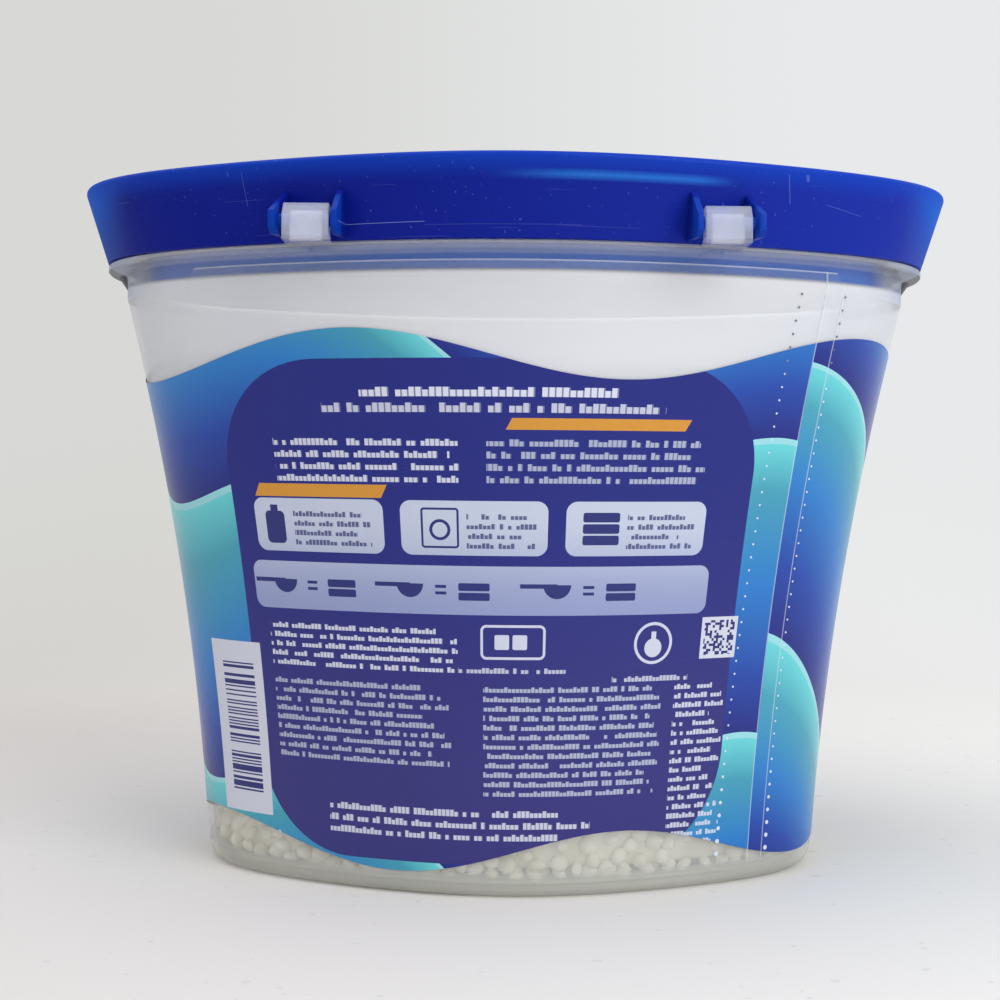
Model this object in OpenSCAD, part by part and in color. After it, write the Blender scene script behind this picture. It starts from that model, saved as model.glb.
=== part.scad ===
// Oval tub with a flip-top lid for laundry beads.
// Millimetres. The origin is the centre of the foot, +Z is up, the hinge is on the -Y side.
// Every wall is a loft between oval rings. A ring is [half length, half width, tautness, height].
// A ring on top of the beads has a fifth value, the height of its lumps.

/* [Tub] */
// Length of the tub at the floor
base_l = 154.8; // [120:0.2:180]
// Width of the tub at the floor
base_w = 108; // [90:0.2:130]
// Length of the tub under the flange
rim_l = 197.2; // [190:0.2:230]
// Width of the tub under the flange
rim_w = 143.4; // [136:0.2:170]
// Height at which the flaring wall turns upright
shoulder_h = 141; // [125:0.5:144]
// Height of the top face of the flange
flange_h = 149; // [148:0.5:170]
// Thickness of the flange
flange_t = 1.8; // [1.2:0.1:2.4]
// How far the flange stands out from the wall
flange_out = 4.6; // [3.6:0.1:6]
// Height of the neck above the flange
neck_h = 4.5; // [2:0.1:5]
// How far the neck stands in from the wall
neck_in = 0.6; // [0.4:0.1:1.2]
// Thickness of the moulded wall
wall = 1.3; // [0.9:0.1:1.6]
// Thickness of the floor
floor_t = 1.5; // [1:0.1:2.5]
// Radius of the bottom edge
foot_r = 4; // [3:0.1:6]
// Width of the flat foot ring
foot_w = 3.5; // [2.5:0.1:6]
// How far the floor is pushed up inside the foot ring
push_up = 1.2; // [0.6:0.1:2.5]
// Share of the wall's flare that comes as a curve towards the top
wall_curve = 0.66; // [0:0.02:0.9]
// Share by which the long sides of the foot are drawn taut
base_taut = 0.07; // [0:0.01:0.12]
// Share by which the long sides of the flange are drawn taut
rim_taut = 0.04; // [0.02:0.01:0.08]
// Share by which the ends of every oval are squared
end_full = 0.045; // [0.03:0.005:0.06]

/* [End corbels] */
// Width of the fluted corbel under the flange at each end
corbel_w = 24; // [14:1:30]
// How far a corbel stands out from the wall
corbel_out = 3.9; // [2:0.1:4.4]
// Number of flutes on a corbel
flutes = 7; // [3:1:11]
// Depth of a flute
flute_d = 0.7; // [0.3:0.1:1]

/* [Lid] */
// Gap between the lower edge of the lid and the flange
lid_gap = 0.3; // [0.3:0.05:0.5]
// Height of the lid
lid_h = 18.1; // [16:0.1:24]
// How far the lid flares out over its height
lid_flare = 5.7; // [5.7:0.1:7]
// Thickness of the lid's walls
lid_wall = 1.4; // [1:0.1:1.6]
// Thickness of the top panel
lid_top_t = 1.5; // [1:0.1:2]
// Radius of the top edge
crown_r = 1.4; // [0.8:0.1:2]
// Share by which the long sides of the top edge are drawn taut
crown_taut = 0.07; // [0.04:0.01:0.12]
// Distance of the sunk panel from the top edge
panel_in = 20; // [18:0.5:40]
// Depth of the sunk panel
panel_d = 1; // [0.4:0.1:1.5]
// Gap between the plug skirt and the neck
plug_gap = 0.8; // [0.6:0.1:1]
// Thickness of the plug skirt
plug_t = 1.2; // [0.8:0.1:1.6]
// How far the plug skirt reaches below the top face of the flange
plug_d = 5.4; // [4:0.1:6]
// Width of the thumb tab at the front
tab_w = 36; // [24:1:50]
// How far the thumb tab stands out
tab_out = 5; // [3:0.1:5.4]
// Thickness of the thumb tab
tab_t = 1.8; // [1.2:0.1:2.4]

/* [Hinge] */
// Distance from the middle of the tub to the middle of a lug
hinge_x = 45.5; // [38:0.5:50]
// How far the hinge axis lies in front of the rearmost edge of the flange
hinge_set = 0.7; // [0.4:0.1:0.9]
// Height of the hinge axis above the flange
hinge_up = 3.9; // [3.8:0.1:4.4]
// Radius of a hinge pin
pin_r = 1.4; // [1:0.1:1.6]
// Radial clearance of a pin in its bore
run_gap = 0.05; // [0.02:0.01:0.1]
// How far a pin reaches into its lug
pin_in = 1.5; // [1:0.1:1.8]
// Width of a lug
lug_w = 10; // [8:0.2:12]
// Half height of a lug above its bore
lug_r = 3.7; // [3.4:0.1:3.8]
// Thickness of a lug's walls
lug_wall = 1.6; // [1.2:0.1:2]
// Gap between a lug and the ears beside it
ear_gap = 0.3; // [0.3:0.05:0.5]
// Thickness of an ear
ear_t = 1.4; // [1:0.1:2]
// Angle by which the ears lean towards the ends of the tub
ear_lean = 10; // [0:1:12]

/* [Sleeve] */
// Gap between the film and the wall
film_gap = 0.1; // [0.1:0.05:0.2]
// Thickness of the film, drawn thicker than life
film_t = 0.3; // [0.2:0.05:0.4]
// Height of the film's lower edge
film_low = 5; // [4.5:0.5:12]
// Height of the film's upper edge along the sides
film_top = 145.4; // [143:0.2:146.4]
// Height of the film's upper edge at the two ends
film_end_top = 138.5; // [130:0.5:139.5]
// Half length of the stretch with the taller upper edge
film_shoulder = 76; // [60:1:84]

/* [Beads and scoop] */
// Height of the beads at the wall
fill_h = 86; // [60:1:96]
// How far the beads are heaped up in the middle
mound_h = 4; // [1:0.5:6]
// Distance from the wall over which they rise
heap_run = 30; // [20:1:50]
// Gap between the beads and the tub
bead_gap = 0.4; // [0.3:0.1:0.8]
// How far the lumps on top of the beads stand out
lump_h = 1.1; // [0.4:0.1:1.5]
// Distance from one lump to the next
lump_p = 8.6; // [7:0.2:14]
// Outer diameter of the scoop's cup at its rim
cup_d = 44; // [36:1:50]
// Height of the scoop's cup
cup_h = 27; // [20:1:32]
// Radius of the round at the cup's foot
cup_r = 10; // [7:0.5:11]
// Thickness of the scoop's wall
cup_t = 1.2; // [0.8:0.1:1.6]
// How far the rim stands out round the cup
cup_lip = 1.5; // [1:0.1:2.5]
// Thickness of the rim and the handle
handle_t = 1.6; // [1.2:0.1:2.4]
// Width of the handle
handle_w = 12; // [8:0.5:16]
// Length of the handle beyond the rim
handle_l = 58; // [40:1:62]
// Place of the cup along the tub
cup_x = -32; // [-36:1:-26]
// Gap between the scoop and the beads it lies on
rest_gap = 0.3; // [0.3:0.05:0.5]
// How far the scoop settles between the lumps, as a share of their height
settle = 0.62; // [0:0.02:0.7]

/* [Hidden] */
// Points round each oval, round the beads, and rings up the flaring wall
facets = 72;
bead_facets = 96;
wall_steps = 8;
round_steps = 3;
eps = 0.02;

flange_low = flange_h - flange_t;
neck_top = flange_h + neck_h;
flange_l = rim_l / 2 + flange_out;
flange_w = rim_w / 2 + flange_out;
lid_low = flange_h + lid_gap;
lid_top = lid_low + lid_h;
under_z = lid_top - lid_top_t;
plug_low = flange_h - plug_d;
plug_in = neck_in + wall + plug_gap;
floor_z = push_up + floor_t;

axis_y = -(flange_w - hinge_set);
axis_z = flange_h + hinge_up;
bore_r = pin_r + run_gap;
// The lug reaches this far to the front of its bore, and its plate meets the flange at this height
lug_fore = bore_r + 1;
lug_low = flange_h - 0.8;
chamfer = 2.8;

// A point on an oval whose long sides are drawn taut and whose ends are squared
function oval_point(a, b, taut, t) =
    let (s = pow(sin(2 * t), 2)) [a * cos(t) * (1 + end_full * s), b * sin(t) * (1 - taut * s)];
function oval(ring, n = facets) = [for (i = [0 : n - 1]) oval_point(ring[0], ring[1], ring[2], 360 * i / n)];
// The depth of an oval's rear side at a given distance from the middle
function rear_y(ring, x) =
    lookup(abs(x), [for (i = [facets / 2 : facets]) let (p = oval_point(ring[0], ring[1], ring[2], 180 * i / facets))
        [-p[0], -p[1]]]);

// Rings of the tub's wall at a height, set in by a distance
function share(z) = let (t = min(z / shoulder_h, 1)) t * (1 - wall_curve + wall_curve * t);
function mix(low, high, k) = low + (high - low) * k;
function body_ring(z, inset = 0) =
    [mix(base_l, rim_l, share(z)) / 2 - inset, mix(base_w, rim_w, share(z)) / 2 - inset,
     mix(base_taut, rim_taut, share(z)), z];
// Rings of the lid's wall at a height, set in by a distance
function lid_ring(z, inset = 0) =
    let (k = (z - lid_low) / lid_h)
    [flange_l + lid_flare * k - inset, flange_w + lid_flare * k - inset, mix(rim_taut, crown_taut, k), z];
function at_height(ring, z) = [ring[0], ring[1], ring[2], z];
function steps(low, high, n) = [for (i = [0 : n]) mix(low, high, i / n)];

// The lumps of small round things that lie in rows, as a height at a place
function lump(ring, p) =
    len(ring) < 5 ? 0 : ring[4] * cos(360 * p[0] / lump_p) * cos(360 * p[1] / lump_p);

// A closed skin through a list of rings, from a face that looks down to one that looks up
module loft(rings, n = facets) {
    last = len(rings) - 1;
    polyhedron(
        points = [for (r = rings) for (p = oval(r, n)) [p[0], p[1], r[3] + lump(r, p)]],
        faces = concat(
            [[for (i = [0 : n - 1]) i]],
            [for (r = [0 : last - 1]) for (i = [0 : n - 1]) [r * n + i, (r + 1) * n + i, (r + 1) * n + (i + 1) % n]],
            [for (r = [0 : last - 1]) for (i = [0 : n - 1]) [r * n + i, (r + 1) * n + (i + 1) % n, r * n + (i + 1) % n]],
            [[for (i = [n - 1 : -1 : 0]) last * n + i]]
        )
    );
}

// A profile drawn in Y and Z, swept along X and centred there
module across(width) rotate([90, 0, 90]) linear_extrude(width, center = true) children();

// Rings round the tub, up the outside and down the inside
module tub_shell() {
    r = foot_r - wall;
    loft(concat(
        [at_height(body_ring(0, foot_r + foot_w), push_up), body_ring(0, foot_r + foot_w)],
        [for (a = steps(0, 90, round_steps)) body_ring(foot_r * (1 - cos(a)), foot_r * (1 - sin(a)))],
        [for (i = [1 : wall_steps]) body_ring(mix(foot_r, shoulder_h, i / wall_steps))],
        [body_ring(flange_low), body_ring(flange_low, -flange_out), body_ring(flange_h, -flange_out)],
        [body_ring(flange_h, neck_in), body_ring(neck_top, neck_in), body_ring(neck_top, neck_in + wall)],
        [body_ring(shoulder_h, neck_in + wall)],
        [for (i = [wall_steps - 1 : -1 : 0]) body_ring(mix(floor_z + r, shoulder_h, i / wall_steps), wall)],
        [for (a = [60, 30, 0]) body_ring(floor_z + r * (1 - cos(a)), wall + r * (1 - sin(a)))]
    ));
}

// A fan of flutes that runs from the underside of the flange to a tip on the wall
module corbel() {
    n = 2 * flutes;
    root = rim_l / 2 - wall / 2;
    fan = [for (i = [0 : n]) let (a = mix(-90, 90, i / n), d = i % 2 == 0 ? 0 : flute_d)
        [rim_l / 2 + (corbel_out - d) * cos(a), corbel_w / 2 * sin(a)]];
    back = [[root, corbel_w / 2], [root, -corbel_w / 2]];
    top = concat(fan, back);
    m = len(top);
    polyhedron(
        points = concat([for (p = top) [p[0], p[1], flange_low + flange_t / 2]], [[root, 0, shoulder_h]]),
        faces = concat([[for (i = [m - 1 : -1 : 0]) i]], [for (i = [0 : m - 1]) [i, (i + 1) % m, m]])
    );
}

// Where the flange meets a lug
lug_root = rear_y([flange_l, flange_w, rim_taut, 0], hinge_x);

// One hollow lug, drawn round x = 0, with its bore along X
module lug() {
    near = axis_y - lug_r;
    fore = axis_y + lug_fore;
    difference() {
        across(lug_w) polygon([
            [near, lug_low], [near, axis_z + lug_r - chamfer], [near + chamfer, axis_z + lug_r],
            [fore, axis_z + lug_r], [fore, flange_h + 1], [fore + 2, flange_h - eps],
            [lug_root + 3, flange_h - eps], [lug_root + 3, lug_low]
        ]);
        across(lug_w - 2 * lug_wall) polygon([
            [near + lug_wall, lug_low - 1], [near + lug_wall, axis_z + lug_r - chamfer - lug_wall / 2],
            [near + chamfer + lug_wall / 2, axis_z + lug_r - lug_wall], [fore - lug_wall / 2, axis_z + lug_r - lug_wall],
            [fore - lug_wall / 2, lug_low - 1]
        ]);
        translate([0, axis_y, axis_z]) rotate([0, 90, 0]) cylinder(h = lug_w + 2, r = bore_r, center = true, $fn = 48);
    }
}

// The cut in the flange under the half of a lug that is nearer the middle
module lug_notch() {
    depth = flange_out - 0.4;
    translate([0, lug_root + depth / 2 - 2, 0]) rotate([90, 0, 0]) linear_extrude(depth + 4, center = true)
        polygon([[0.3, lug_low], [0.3, flange_low - 1], [-lug_w / 2 - 1.2, flange_low - 1],
                 [-lug_w / 2, flange_low], [-lug_w / 2 + lug_wall, lug_low]]);
}

module tub() color([0.86, 0.89, 0.93, 0.6]) {
    difference() {
        union() {
            tub_shell();
            corbel();
            mirror([1, 0, 0]) corbel();
        }
        for (side = [0, 1]) mirror([side, 0, 0]) translate([hinge_x, 0, 0]) lug_notch();
    }
    for (side = [0, 1]) mirror([side, 0, 0]) translate([hinge_x, 0, 0]) lug();
}

// Rings up the inside of the lid, down to its lower edge and up the outside
module lid_shell() {
    plug_out = body_ring(flange_h, plug_in);
    plug_inner = body_ring(flange_h, plug_in + plug_t);
    sunk = panel_in + panel_d;
    loft(concat(
        [lid_ring(lid_top, sunk + lid_top_t) + [0, 0, 0, -panel_d - lid_top_t]],
        [at_height(lid_ring(lid_top, panel_in + lid_top_t), under_z)],
        [at_height(plug_inner, under_z), at_height(plug_inner, plug_low)],
        [at_height(plug_out, plug_low), at_height(plug_out, under_z)],
        [lid_ring(under_z, lid_wall), lid_ring(lid_low, lid_wall), lid_ring(lid_low)],
        [for (a = steps(0, 90, round_steps)) lid_ring(lid_top - crown_r * (1 - sin(a)), crown_r * (1 - cos(a)))],
        [lid_ring(lid_top, panel_in), at_height(lid_ring(lid_top, sunk), lid_top - panel_d)]
    ));
}

// One ear, drawn beside a lug at x = 0, on its +X side; turn is +1 on the ear nearer the tub's end
module ear(turn) {
    clear = lug_w / 2 + ear_gap + (turn > 0 ? norm([lug_fore, lug_r]) : lug_r) * tan(ear_lean);
    x = clear + ear_t / 2;
    foot_y = rear_at(turn, lid_low) + lid_wall * 0.75;
    head_z = axis_z + 7;
    head_y = rear_at(turn, head_z) + lid_wall * 0.75;
    near = axis_y - lug_r + 0.4;
    translate([x, axis_y, 0]) rotate([0, 0, turn * ear_lean]) translate([0, -axis_y, 0])
        across(ear_t) polygon([
            [foot_y, lid_low + 0.4], [near + 1.6, axis_z - 3.2], [near, axis_z - 1.8],
            [near, axis_z + 1.8], [head_y - 1.8, head_z], [head_y, head_z]
        ]);
    translate([lug_w / 2 - pin_in, axis_y, axis_z]) rotate([0, 90, 0])
        cylinder(h = x - lug_w / 2 + pin_in, r = pin_r, $fn = 48);
}
// How far back the lid's outer face lies beside an ear, at a height
function rear_at(turn, z) =
    let (lean = (rear_y(lid_ring(axis_z), hinge_x) - axis_y) * tan(ear_lean))
    rear_y(lid_ring(z), hinge_x + turn * (lug_w / 2 + ear_gap + ear_t) - lean);

module thumb_tab() {
    front = flange_w - lid_wall / 2;
    reach = tab_out + lid_wall / 2;
    r = (tab_w * tab_w / 4 + reach * reach) / (2 * reach);
    intersection() {
        translate([0, front + reach - r, lid_low]) cylinder(h = tab_t, r = r, $fn = 96);
        translate([-tab_w, front, lid_low - 1]) cube([2 * tab_w, reach + 1, tab_t + 2]);
    }
}

module lid() color([0.07, 0.13, 0.6]) {
    lid_shell();
    thumb_tab();
    for (side = [0, 1]) mirror([side, 0, 0]) translate([hinge_x, 0, 0]) {
        ear(1);
        mirror([1, 0, 0]) ear(-1);
    }
}

// Rings round the film, up the outside and down the inside
module sleeve() color([0.16, 0.3, 0.75]) {
    levels = concat(steps(film_low, shoulder_h, wall_steps), [film_top]);
    inner = -film_gap;
    outer = -film_gap - film_t;
    difference() {
        loft(concat(
            [body_ring(film_low - eps, 12)],
            [for (z = levels) body_ring(z, outer)],
            [body_ring(film_top, 12) + [0, 0, 0, eps]]
        ));
        loft(concat(
            [body_ring(film_low - 1, inner)],
            [for (z = levels) body_ring(z, inner)],
            [body_ring(film_top + 1, inner)]
        ));
        for (side = [-1, 1]) translate([side * (film_shoulder + rim_l / 2), 0, film_end_top + 10])
            cube([rim_l, rim_w * 2, 20], center = true);
    }
}

module beads() color([0.93, 0.9, 0.8]) {
    gap = wall + bead_gap;
    r = foot_r - wall;
    low = floor_z + bead_gap;
    // Rings over the heap, half a lump apart, from the wall to near the middle
    ledge = lump_p / 2;
    rows = floor((body_ring(fill_h, gap)[1] - ledge) / ledge);
    loft(concat(
        [for (a = steps(0, 90, round_steps)) body_ring(low + r * (1 - cos(a)), gap + r * (1 - sin(a)))],
        [for (i = [1 : 4]) body_ring(mix(low + r, fill_h - lump_h, i / 4), gap)],
        [for (i = [1 : rows]) heap_ring(i * ledge, gap, i < rows ? lump_h : 0)]
    ), bead_facets);
}
// A ring over the heap at a distance from the wall
function heap_ring(in, gap, lumps) =
    concat(at_height(body_ring(fill_h, gap + in), fill_h - lump_h + mound_h * sin(min(in / heap_run, 1) * 90)), [lumps]);

// The scoop lies on the foot of its cup and on the end of its handle
handle_tip = cup_d / 2 + cup_lip + handle_l;
tip_under = cup_h - handle_t;
cup_flat = cup_d * 0.2;
tilt_run = handle_tip - cup_flat;
tilt_rise = tip_under - cup_r;
scoop_tilt = atan2(tilt_rise, tilt_run) + asin(cup_r / norm([tilt_run, tilt_rise]));
scoop_drop = -cup_flat * sin(scoop_tilt) + cup_r * cos(scoop_tilt) - cup_r;

module cup_profile(inset) {
    top = cup_d / 2 - inset;
    r = cup_r - inset;
    side = atan2(cup_d / 2 - cup_flat - cup_r, cup_h - cup_r);
    polygon(concat(
        [[0, inset]],
        [for (a = steps(-90, -side, 6)) [cup_flat + r * cos(a), cup_r + r * sin(a)]],
        [[top, cup_h + (inset > 0 ? 1 : 0)], [0, cup_h + (inset > 0 ? 1 : 0)]]
    ));
}

module scoop() color([0.9, 0.92, 0.95])
    translate([cup_x, 0, fill_h + mound_h - settle * lump_h + rest_gap - scoop_drop]) rotate([0, scoop_tilt, 0]) {
        difference() {
            union() {
                rotate_extrude($fn = 64) cup_profile(0);
                translate([0, 0, tip_under]) cylinder(h = handle_t, d = cup_d + 2 * cup_lip, $fn = 64);
                translate([0, -handle_w / 2, tip_under]) cube([handle_tip - handle_w / 2, handle_w, handle_t]);
                translate([handle_tip - handle_w / 2, 0, tip_under]) cylinder(h = handle_t, d = handle_w, $fn = 48);
            }
            rotate_extrude($fn = 64) cup_profile(cup_t);
        }
    }

tub();
lid();
sleeve();
beads();
scoop();
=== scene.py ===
import math

import bmesh
import bpy
from mathutils import Matrix, Vector


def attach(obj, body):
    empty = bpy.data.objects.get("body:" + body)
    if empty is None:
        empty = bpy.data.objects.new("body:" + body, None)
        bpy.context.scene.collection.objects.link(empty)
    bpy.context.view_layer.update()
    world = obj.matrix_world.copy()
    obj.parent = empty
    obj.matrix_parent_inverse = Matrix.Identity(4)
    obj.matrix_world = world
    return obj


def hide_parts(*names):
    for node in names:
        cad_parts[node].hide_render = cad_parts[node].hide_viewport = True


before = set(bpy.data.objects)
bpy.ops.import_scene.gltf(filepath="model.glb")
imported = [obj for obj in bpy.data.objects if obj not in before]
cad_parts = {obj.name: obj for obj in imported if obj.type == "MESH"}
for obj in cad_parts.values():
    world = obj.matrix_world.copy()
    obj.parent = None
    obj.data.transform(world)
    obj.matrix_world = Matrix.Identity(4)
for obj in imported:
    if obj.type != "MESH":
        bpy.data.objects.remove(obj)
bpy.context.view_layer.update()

mm = 0.001  # sizes below are in millimetres

tubForm = {
    "footLength": 154.8,
    "footWidth": 108.0,
    "rimLength": 197.2,
    "rimWidth": 143.4,
    "shoulder": 141.0,
    "flangeTop": 149.0,
    "flangeThick": 1.8,
    "flangeOut": 4.6,
    "neckHeight": 4.5,
    "neckIn": 0.6,
    "wall": 1.3,
    "floorThick": 1.5,
    "footRadius": 4.0,
    "footRing": 3.5,
    "pushUp": 1.2,
    "wallCurve": 0.66,
    "footTaut": 0.07,
    "rimTaut": 0.04,
    "endFull": 0.045,
    "edge": 0.35,
    "corbelWidth": 24.0,
    "corbelOut": 3.9,
    "flutes": 7,
    "fluteDepth": 0.7,
}
hingeForm = {
    "x": 45.5,
    "setBack": 0.7,
    "up": 3.9,
    "pinRadius": 1.4,
    "play": 0.05,
    "pinInside": 1.5,
    "lugWidth": 10.0,
    "lugReach": 3.7,
    "lugWall": 1.6,
    "lugFoot": 0.8,
    "chamfer": 2.8,
    "earGap": 0.3,
    "earThick": 1.4,
    "earLean": 10.0,
}
lidForm = {
    "gap": 0.3,
    "height": 18.1,
    "flare": 5.7,
    "wall": 1.4,
    "top": 1.5,
    "crownRadius": 1.4,
    "crownTaut": 0.07,
    "panelIn": 20.0,
    "panelDeep": 1.0,
    "plugGap": 0.8,
    "plugThick": 1.2,
    "plugDeep": 5.4,
    "tabWidth": 36.0,
    "tabOut": 5.0,
    "tabThick": 1.8,
}
filmForm = {
    "gap": 0.1,
    "thick": 0.2,
    "low": 5.0,
    "top": 145.4,
    "endTop": 138.5,
    "shoulder": 76.0,
    "corner": 3.0,
    "seam": 66.4,  # how far right of the rear middle the film is joined
    "measuredAt": 75.0,  # height at which lengths round the film are taken
    "tall": 150.0,
}

flangeLow = tubForm["flangeTop"] - tubForm["flangeThick"]
neckTop = tubForm["flangeTop"] + tubForm["neckHeight"]
flangeHalf = [tubForm[side] / 2 + tubForm["flangeOut"] for side in ("rimLength", "rimWidth")]
lidLow = tubForm["flangeTop"] + lidForm["gap"]
lidTop = lidLow + lidForm["height"]
lidUnder = lidTop - lidForm["top"]
plugLow = tubForm["flangeTop"] - lidForm["plugDeep"]
plugInset = tubForm["neckIn"] + tubForm["wall"] + lidForm["plugGap"]
floorTop = tubForm["pushUp"] + tubForm["floorThick"]
axisY = -(flangeHalf[1] - hingeForm["setBack"])
axisZ = tubForm["flangeTop"] + hingeForm["up"]
boreRadius = hingeForm["pinRadius"] + hingeForm["play"]
lugFore = boreRadius + 1.0
lugLow = tubForm["flangeTop"] - hingeForm["lugFoot"]


def blendOf(low, high, share):
    return low + (high - low) * share


def ovalPoint(ring, turn):
    halfLength, halfWidth, taut, height = ring
    swell = math.sin(2 * turn) ** 2
    x = halfLength * math.cos(turn) * (1 + tubForm["endFull"] * swell)
    y = halfWidth * math.sin(turn) * (1 - taut * swell)
    return Vector((x, y, height))


def wallRing(height, inset=0.0, drawnAt=None):
    rise = min(height / tubForm["shoulder"], 1.0)
    share = rise * (1 - tubForm["wallCurve"] + tubForm["wallCurve"] * rise)
    return (
        blendOf(tubForm["footLength"], tubForm["rimLength"], share) / 2 - inset,
        blendOf(tubForm["footWidth"], tubForm["rimWidth"], share) / 2 - inset,
        blendOf(tubForm["footTaut"], tubForm["rimTaut"], share),
        height if drawnAt is None else drawnAt,
    )


def lidRing(height, inset=0.0, drawnAt=None):
    share = (height - lidLow) / lidForm["height"]
    return (
        flangeHalf[0] + lidForm["flare"] * share - inset,
        flangeHalf[1] + lidForm["flare"] * share - inset,
        blendOf(tubForm["rimTaut"], lidForm["crownTaut"], share),
        height if drawnAt is None else drawnAt,
    )


def rearDepth(ring, x):
    low, high = math.pi, 1.5 * math.pi
    for _ in range(40):
        middle = (low + high) / 2
        if -ovalPoint(ring, middle).x > abs(x):
            low = middle
        else:
            high = middle
    return ovalPoint(ring, low).y


def ringPoints(ring, columns):
    return [ovalPoint(ring, 2 * math.pi * i / columns) for i in range(columns)]


def linked(name, data):
    made = bpy.data.objects.new(name, data)
    bpy.context.scene.collection.objects.link(made)
    return made


def objectFrom(name, points, faces):
    mesh = bpy.data.meshes.new(name)
    mesh.from_pydata([Vector(p) * mm for p in points], [], faces)
    mesh.update()
    return linked(name, mesh)


def smoothed(piece, angle=32.0):
    piece.data.shade_smooth()
    piece.data.set_sharp_from_angle(angle=math.radians(angle))
    return piece


def loftRows(rows, closed=False):
    count = len(rows[0])
    points = [p for row in rows for p in row]
    spans = len(rows) if closed else len(rows) - 1
    faces = []
    for r in range(spans):
        upper = (r + 1) % len(rows)
        for i in range(count):
            j = (i + 1) % count
            faces.append((r * count + i, r * count + j, upper * count + j, upper * count + i))
    if not closed:
        faces.append(tuple(reversed(range(count))))
        faces.append(tuple(range((len(rows) - 1) * count, len(rows) * count)))
    return points, faces


def loft(name, rings, columns=288):
    return objectFrom(name, *loftRows([ringPoints(ring, columns) for ring in rings]))


def prism(name, outline, low, high, axis):
    # an outline drawn out along one axis, its own two being the others in the order x, y, z
    count = len(outline)
    points = []
    for level in (low, high):
        for place in outline:
            point = list(place)
            point.insert(axis, level)
            points.append(point)
    faces = [tuple(range(count)), tuple(range(count, 2 * count))]
    faces += [(i, (i + 1) % count, count + (i + 1) % count, count + i) for i in range(count)]
    piece = objectFrom(name, points, faces)
    outward(piece)
    return piece


def rod(name, low, high, y, z, radius, sides=40):
    turns = [2 * math.pi * i / sides for i in range(sides)]
    return prism(name, [(y + radius * math.cos(t), z + radius * math.sin(t)) for t in turns], low, high, 0)


def outward(piece):
    shell = bmesh.new()
    shell.from_mesh(piece.data)
    bmesh.ops.remove_doubles(shell, verts=shell.verts, dist=1e-7)
    bmesh.ops.recalc_face_normals(shell, faces=shell.faces)
    shell.to_mesh(piece.data)
    shell.free()


def finished(piece):
    # modifiers become plain mesh
    depsgraph = bpy.context.evaluated_depsgraph_get()
    mesh = bpy.data.meshes.new_from_object(piece.evaluated_get(depsgraph))
    piece.modifiers.clear()
    old = piece.data
    piece.data = mesh
    bpy.data.meshes.remove(old)
    mesh.name = piece.name
    return piece


def combine(piece, tools, operation):
    for tool in tools:
        cut = piece.modifiers.new(operation.lower(), "BOOLEAN")
        cut.operation = operation
        cut.solver = "EXACT"
        cut.object = tool
    finished(piece)
    for tool in tools:
        bpy.data.objects.remove(tool)
    return piece


def bevelled(piece, width, segments=2, angle=40.0):
    bevel = piece.modifiers.new("bevel", "BEVEL")
    bevel.width = width * mm
    bevel.segments = segments
    bevel.limit_method = "ANGLE"
    bevel.angle_limit = math.radians(angle)
    return finished(piece)


def joined(name, pieces):
    shell = bmesh.new()
    for piece in pieces:
        shell.from_mesh(piece.data)
        bpy.data.objects.remove(piece)
    mesh = bpy.data.meshes.new(name)
    shell.to_mesh(mesh)
    shell.free()
    return linked(name, mesh)


def mirroredCopy(piece, name):
    mesh = piece.data.copy()
    mesh.transform(Matrix.Scale(-1, 4, Vector((1, 0, 0))))
    mesh.flip_normals()
    return linked(name, mesh)


def tone(red, green, blue):
    # a colour as a paint chart gives it, 0 to 255, made linear
    def linear(c):
        c /= 255
        return c / 12.92 if c <= 0.04045 else ((c + 0.055) / 1.055) ** 2.4

    return (linear(red), linear(green), linear(blue), 1.0)


class Value:
    # a number that changes over a surface, so that masks read as sums and products
    def __init__(self, paint, socket):
        self.paint = paint
        self.socket = socket

    def math(self, operation, *others):
        made = self.paint.node("ShaderNodeMath", {"operation": operation}, dict(enumerate((self, *others))))
        return Value(self.paint, made.outputs[0])

    def __add__(self, other):
        return self.math("ADD", other)

    def __sub__(self, other):
        return self.math("SUBTRACT", other)

    def __mul__(self, other):
        return self.math("MULTIPLY", other)

    def __truediv__(self, other):
        return self.math("DIVIDE", other)

    def __rsub__(self, other):
        return (self * -1) + other

    def __gt__(self, other):
        return self.math("GREATER_THAN", other)

    def __lt__(self, other):
        return self.math("LESS_THAN", other)

    __radd__ = __add__
    __rmul__ = __mul__

    def size(self):
        return self.math("ABSOLUTE")

    def part(self):
        return self.math("FRACT")

    def whole(self):
        return self.math("FLOOR")

    def wave(self):
        return self.math("SINE")

    def atLeast(self, other):
        return self.math("MAXIMUM", other)

    def atMost(self, other):
        return self.math("MINIMUM", other)

    def between(self, low, high):
        return self.math("COMPARE", (low + high) / 2, (high - low) / 2)

    def rise(self, low, high):
        # 0 at low, 1 at high, with soft ends
        inputs = {0: self, 1: low, 2: high}
        made = self.paint.node("ShaderNodeMapRange", {"interpolation_type": "SMOOTHSTEP"}, inputs)
        return Value(self.paint, made.outputs[0])


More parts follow.
